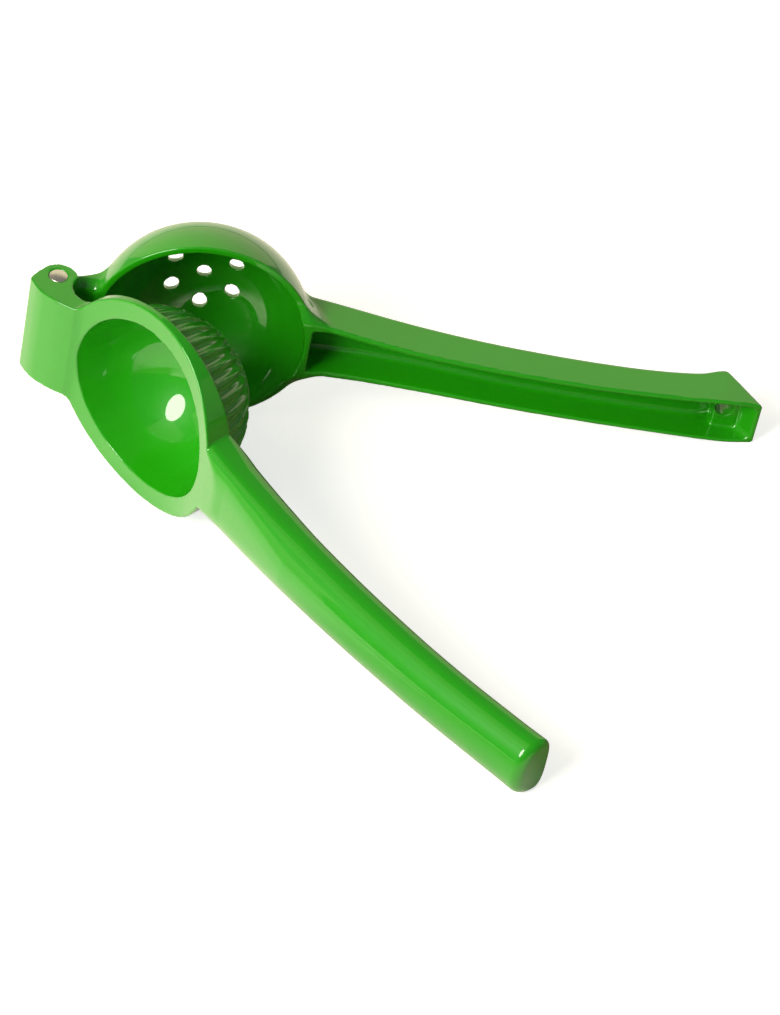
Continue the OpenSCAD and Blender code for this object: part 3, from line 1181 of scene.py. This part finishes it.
@dataclass(frozen=True)
class WhitePaperWithPaintedLight:
    """Smooth white card, uncoated, with painted light and shade on it for what the pieces see.

    It shows as plain white with the soft shadow of the object. In their gloss and bounce the pieces
    see painted light on it, bright in front of the ring and behind the bowl, less so along the press
    arm's outer side, and painted shade elsewhere; no lamp makes these patches.

    Attributes:
        paper: its own colour.
        painted_lit: painted colour of the bright patches, that the pieces see in their gloss and bounce.
        dim: painted shade, the colour that they see elsewhere.
        painted_glow_hue: colour of the painted glow that the gloss shows in the bright patches.
        glow: strength of the glow, an even white for the camera and a painted reflection in the gloss.
        behind: where the bright patch is painted behind the bowl.
        handle: both edges of the painted bright strip along the press arm's outer side.
        near, left, right: edges of the painted bright patch in front of the ring.
        edges: edges of all the painted bright patches in front.
    """

    paper: str = "EAEAEA"
    # Painted light and shade: colours the pieces see on the paper, bright in the patches and dim
    # elsewhere.
    painted_lit: str = "F0E9D2"
    dim: str = "A39F82"
    painted_glow_hue: str = "FFFBEA"
    glow: float = 0.7
    behind: Ramp = Ramp(BACKWARD, 0.11, 0.17, 0.75)
    handle: tuple[Ramp, ...] = (Ramp(OUTWARD, 0.17, 0.05, 0.6), Ramp(OUTWARD, 0.03, 0.06))
    near: Ramp = Ramp(OUTWARD, 0.16, 0.12)
    left: Ramp = Ramp(ACROSS, -0.05, -0.09)
    right: Ramp = Ramp(ACROSS, 0.04, -0.02)
    edges: tuple[Ramp, ...] = (Ramp(OUTWARD, 0.02, 0.04), Ramp(ACROSS, -0.24, -0.18))

    def combine(
        self, tree: bpy.types.NodeTree, operation: str, a: bpy.types.NodeSocket, b: bpy.types.NodeSocket
    ) -> bpy.types.NodeSocket:
        """One step of arithmetic on two sockets."""
        settings = {"operation": operation, "use_clamp": True}
        return add_node(tree, "ShaderNodeMath", settings, at0=a, at1=b).outputs[0]

    def light(self, tree: bpy.types.NodeTree) -> bpy.types.NodeSocket:
        """Builds the pattern of painted light, 1 in the bright patches and 0 in the painted shade.

        Args:
            tree: the node tree.

        Returns:
            The socket that carries it, from 0 to 1.
        """
        by_handle = self.combine(tree, "MINIMUM", *(ramp.socket(tree) for ramp in self.handle))
        by_ring = self.combine(tree, "MAXIMUM", self.near.socket(tree), self.left.socket(tree))
        by_ring = self.combine(tree, "MINIMUM", by_ring, self.right.socket(tree))
        front = self.combine(tree, "MAXIMUM", by_handle, by_ring)
        for edge in self.edges:
            front = self.combine(tree, "MINIMUM", front, edge.socket(tree))
        return self.combine(tree, "MAXIMUM", self.behind.socket(tree), front)

    def material(self) -> bpy.types.Material:
        """Builds the paper.

        Returns:
            The material.
        """
        material, tree, out = new_material("white_paper_with_painted_light")
        rays = add_node(tree, "ShaderNodeLightPath").outputs
        # Painted light: the mask of the paper's bright patches, which no lamp casts.
        painted_lit = self.light(tree)
        plain = self.combine(tree, "MAXIMUM", rays["Is Camera Ray"], rays["Is Transmission Ray"])
        # Painted reflection: the paper glows in the gloss only in the bright patches.
        mirrored = self.combine(tree, "MULTIPLY", rays["Is Glossy Ray"], painted_lit)
        shown = self.combine(tree, "MAXIMUM", plain, mirrored)
        strength = add_node(tree, "ShaderNodeMath", {"operation": "MULTIPLY", 1: self.glow}, at0=shown)
        hue = add_node(
            tree, "ShaderNodeMix", {"data_type": "RGBA", 6: (1, 1, 1, 1), 7: linear(self.painted_glow_hue)},
            Factor=mirrored,
        )
        white = add_node(
            tree, "ShaderNodeEmission", None, Color=hue.outputs[2], Strength=strength.outputs[0]
        )
        # Painted light and shade: the paper's colour for the gloss and the bounce, bright or dim by
        # patch.
        around = add_node(
            tree, "ShaderNodeMix", {"data_type": "RGBA", 6: linear(self.dim), 7: linear(self.painted_lit)},
            Factor=painted_lit,
        )
        tone = add_node(
            tree, "ShaderNodeMix", {"data_type": "RGBA", 7: linear(self.paper)},
            Factor=plain, at6=around.outputs[2],
        )
        paper = add_node(tree, "ShaderNodeBsdfDiffuse", None, Color=tone.outputs[2])
        both = add_node(tree, "ShaderNodeAddShader", None, at0=paper.outputs[0], at1=white.outputs[0])
        tree.links.new(both.outputs[0], out.inputs["Surface"])
        return material


@dataclass
class Studio:
    """The camera, the floor, the room and the lamps.

    Attributes:
        eye: the camera's place, in metres.
        heading: its turn about the vertical.
        dip: how far it looks down.
        roll: its turn about its own axis.
        lens_mm: its focal length.
        sensor_mm: width of its sensor.
        sight: how far it sees, in metres.
        floor_half: half of the floor's side, in metres.
        room: brightness of the room, where 1 is white.
        lamps: the lamps.
    """

    eye: tuple[float, float, float] = (0.39293, -0.89668, 0.84916)
    heading: float = math.radians(22.717)
    dip: float = math.radians(40.808)
    roll: float = math.radians(0.446)
    lens_mm: float = 159.6
    sensor_mm: float = 36.0
    sight: float = 20.0
    floor_half: float = 6.0
    room: float = 0.12
    lamps: tuple[Lamp, ...] = (
        Lamp("key", -110, 37, 1.6, (0.64, 0.98), 13.0, "FFFCEE", LampShape.ELLIPSE),
        Lamp("left_card", -165, 12, 1.6, (1.5, 1.3), 0.6),
        Lamp("back_card", 112, 24, 1.9, (2.8, 1.5), 0.72),
        Lamp("right_card", 30, 16, 1.9, (1.6, 1.2), 0.2),
        Lamp("top", -130, 68, 1.6, (1.1, 0.9), 0.4),
        Lamp("fill", -145, 42, 1.6, (1.0, 1.0), 1.5, mirrored=False),
    )

    def camera(self) -> None:
        """Places the camera."""
        data = bpy.data.cameras.new("camera")
        data.lens = self.lens_mm
        data.sensor_width = self.sensor_mm
        data.clip_end = self.sight
        camera = bpy.data.objects.new("camera", data)
        camera.rotation_mode = "XYZ"
        level = Matrix.Rotation(self.heading, 4, "Z") @ Matrix.Rotation(math.pi / 2 - self.dip, 4, "X")
        camera.matrix_world = (
            Matrix.Translation(self.eye) @ level @ Matrix.Rotation(self.roll, 4, "Z")
        )
        bpy.context.scene.collection.objects.link(camera)
        bpy.context.scene.camera = camera

    def floor(self) -> None:
        """Lays a broad sheet of white paper, which shows as white and still takes a soft shadow, with
        painted light and shade on it for the pieces' gloss and bounce.
        """
        half = self.floor_half
        mesh = bpy.data.meshes.new("floor")
        corners = [(-half, -half, 0), (half, -half, 0), (half, half, 0), (-half, half, 0)]
        mesh.from_pydata(corners, [], [(0, 1, 2, 3)])
        mesh.materials.append(WhitePaperWithPaintedLight().material())
        obj = bpy.data.objects.new("floor", mesh)
        bpy.context.scene.collection.objects.link(obj)

    def world(self) -> None:
        """Lights the room evenly, and shows white behind everything."""
        world = bpy.data.worlds.new("room")
        world.use_nodes = True
        tree = world.node_tree
        tree.nodes.clear()
        out = add_node(tree, "ShaderNodeOutputWorld")
        rays = add_node(tree, "ShaderNodeLightPath")
        dim = add_node(tree, "ShaderNodeBackground", {"Color": (1, 1, 1, 1), "Strength": self.room})
        white = add_node(tree, "ShaderNodeBackground", {"Color": (1, 1, 1, 1), "Strength": 1.0})
        mix = add_node(
            tree, "ShaderNodeMixShader", None,
            at0=rays.outputs["Is Camera Ray"], at1=dim.outputs[0], at2=white.outputs[0],
        )
        tree.links.new(mix.outputs[0], out.inputs["Surface"])
        bpy.context.scene.world = world

    def build(self) -> None:
        """Sets up the studio."""
        self.camera()
        self.floor()
        self.world()
        for lamp in self.lamps:
            lamp.hang()
        bpy.context.scene.view_settings.view_transform = "Standard"


def dress(obj: bpy.types.Object, material: bpy.types.Material, node: str, body: str) -> None:
    """Gives a piece its finish and lets it stand for its node.

    Args:
        obj: the piece.
        material: its finish.
        node: the node of the frame that it replaces.
        body: the body that it rides on.
    """
    obj.data.materials.append(material)
    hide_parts(node)
    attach(obj, body)
    log.info("%s: %d faces, rides on %s", obj.name, len(obj.data.polygons), body)


def main() -> None:
    """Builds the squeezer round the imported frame, and the studio round the squeezer."""
    logging.basicConfig(level=logging.INFO, format="%(name)s: %(message)s")
    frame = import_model()
    Studio().build()
    hinge = Hinge.from_joint(frame["joints"][0])
    mesher = Surfacer()
    enamel = BakedEnamel().material()
    dress(BowlArm().build(hinge, mesher), enamel, "bowl_arm", "lower_lever")
    dress(PressArm().build(hinge, mesher), enamel, "press_arm", "upper_lever")
    dress(HingePin().build(hinge), TurnedSteel().material(hinge), "hinge_pin", "upper_lever")


if __name__ == "__main__":
    main()
